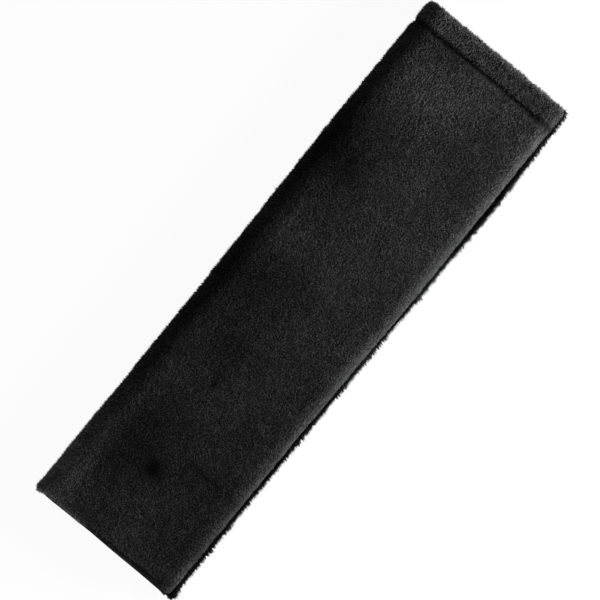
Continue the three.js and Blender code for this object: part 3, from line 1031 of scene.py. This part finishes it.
def strip_stitching(name, on_upper_half):
    """Stitches all round a closure strip, on its bare margins."""
    margin = 1 * MM
    sides = [HALF_WIDTH - STRIP_OUTER_X + margin, HALF_WIDTH - STRIP_INNER_X - margin]
    if not on_upper_half:
        sides = [FLAT_WIDTH - side for side in sides]
    ends = STRIP_START_Y + margin, STRIP_END_Y - margin
    depth = FLAP_THICKNESS + LAYER_GAP + TAPE_THICKNESS + 0.1 * MM
    outline = [(sides[0], ends[0]), (sides[0], ends[1]), (sides[1], ends[1]), (sides[1], ends[0])]
    thread = depth, THREAD_DIAMETER * 0.8, STRIP_STITCH_LENGTH
    runs = [(start, outline[(corner + 1) % 4], *thread) for corner, start in enumerate(outline)]
    return stitching(name, *runs)


def seam_stitching():
    """The seam of lining and cover: along both closing edges and across the plain end under the rim."""
    side = SEAM_INNER - 0.5 * MM
    edge_depth = FLAP_THICKNESS - LINING_THICKNESS + THREAD_DIAMETER / 2
    end_y = 0.5 * MM - HALF_LENGTH
    start_y = -HALF_LENGTH + 2 * MM
    stop_y = HALF_LENGTH - SEAM_INNER
    under_rim = 3.45 * MM
    runs = [((across, start_y), (across, stop_y), edge_depth) for across in (side, FLAT_WIDTH - side)]
    runs.append(((SEAM_INNER, end_y), (FLAT_WIDTH - SEAM_INNER, end_y), under_rim))
    return stitching("seam_stitches", *[(*run, THREAD_DIAMETER, SEAM_STITCH_LENGTH) for run in runs])


# The studio


def photo_camera():
    """The camera straight above the pad, turned so that the pad lies as in the photograph."""
    bpy.ops.object.camera_add(location=(*VIEW_CENTRE, CAMERA_HEIGHT), rotation=(0, 0, PAD_TURN))
    camera = bpy.context.object
    camera.data.sensor_width = SENSOR_WIDTH
    camera.data.lens = SENSOR_WIDTH * (CAMERA_HEIGHT - WIDEST_HEIGHT) / FRAME_WIDTH
    bpy.context.scene.camera = camera


def soft_lamp(name, azimuth, elevation, distance, size, power):
    """A square lamp that faces the pad from a compass direction, measured from +X towards +Y."""
    towards = Euler((0, math.radians(90 - elevation), math.radians(azimuth))).to_matrix()
    bpy.ops.object.light_add(type="AREA", location=towards @ Vector((0, 0, distance)))
    lamp = bpy.context.object
    lamp.name = name
    lamp.rotation_euler = Euler((0, math.radians(90 - elevation), math.radians(azimuth)))
    lamp.data.size = size
    lamp.data.energy = power
    lamp.visible_camera = False


def studio():
    """Plain soft light from the closing edge's side and above, on a pale floor."""
    soft_lamp("key_lamp", azimuth=25, elevation=22, distance=0.45, size=0.2, power=5.6)
    soft_lamp("end_lamp", azimuth=-95, elevation=6, distance=0.5, size=0.2, power=2.0)
    world = bpy.data.worlds.new("studio")
    bpy.context.scene.world = world
    world.use_nodes = True
    graph = Graph(world.node_tree)
    background = world.node_tree.nodes["Background"]
    path = graph.add("ShaderNodeLightPath", output="Is Camera Ray")
    seen = path.math("MAXIMUM", path, path.other("Is Glossy Ray"))
    world.node_tree.links.new((seen * 0.84 + 0.16).output, background.inputs["Strength"])
    background.inputs["Color"].default_value = (1, 1, 1, 1)

    floor = start_shape(bpy.ops.mesh.primitive_plane_add, size=6)
    floor.name = "floor"
    material, graph, shader = new_material("floor", Roughness=1.0, Specular_IOR_Level=0.0)
    path = graph.add("ShaderNodeLightPath", output="Is Camera Ray")
    seen = path.math("MAXIMUM", path, path.other("Is Glossy Ray"))
    seen = path.math("MAXIMUM", seen, path.other("Is Transmission Ray"))
    feed(graph, shader, Base_Color=seen * 0.65 + 0.25)
    glow = graph.add("ShaderNodeEmission", {}, {"Color": (1, 1, 1, 1), "Strength": 1.0})
    lit = Socket(graph, shader.outputs[0])
    look = graph.add("ShaderNodeMixShader", {}, {0: seen * 0.94, 1: lit, 2: glow})
    graph.tree.links.new(look.output, graph.tree.nodes["Material Output"].inputs["Surface"])
    floor.data.materials.append(material)


def rides(piece, slot, *nodes):
    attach(piece, "root")
    if nodes:
        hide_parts(*nodes)


photo_camera()
studio()
bpy.context.scene.view_settings.view_transform = "Standard"
sewing_thread = thread_material()

backing, outside, from_insides = plush_backing()
share = plan_pile(backing, outside, from_insides)
rides(backing, "plush", "plush_cover")
for pile in plush_pile(backing, share):
    rides(pile, "plush")

foam = foam_sheet()
rides(foam, "foam", "foam_padding")

lining = lining_sheet()
rides(lining, "lining_cloth", "lining")

hooks = hook_strip()
hooks.data.materials.append(tape_material("hook_nylon", (0.035, 0.035, 0.037), 0.35))
rides(hooks, "hook_tape", "hook_strip")
loops = loop_strip()
loops.data.materials.append(tape_material("loop_nylon", (0.045, 0.045, 0.047), 0.6))
rides(loops, "loop_tape", "loop_strip")

rides(topstitch("topstitch_needle_stitches", NEEDLE_DEPTH), "sewing_thread", "topstitch_needle_thread")
rides(topstitch("topstitch_bobbin_stitches", BOBBIN_DEPTH), "sewing_thread", "topstitch_bobbin_thread")
rides(strip_stitching("hook_strip_stitches", True), "sewing_thread", "hook_strip_stitching")
rides(strip_stitching("loop_strip_stitches", False), "sewing_thread", "loop_strip_stitching")
rides(seam_stitching(), "sewing_thread", "lining_seam_thread")
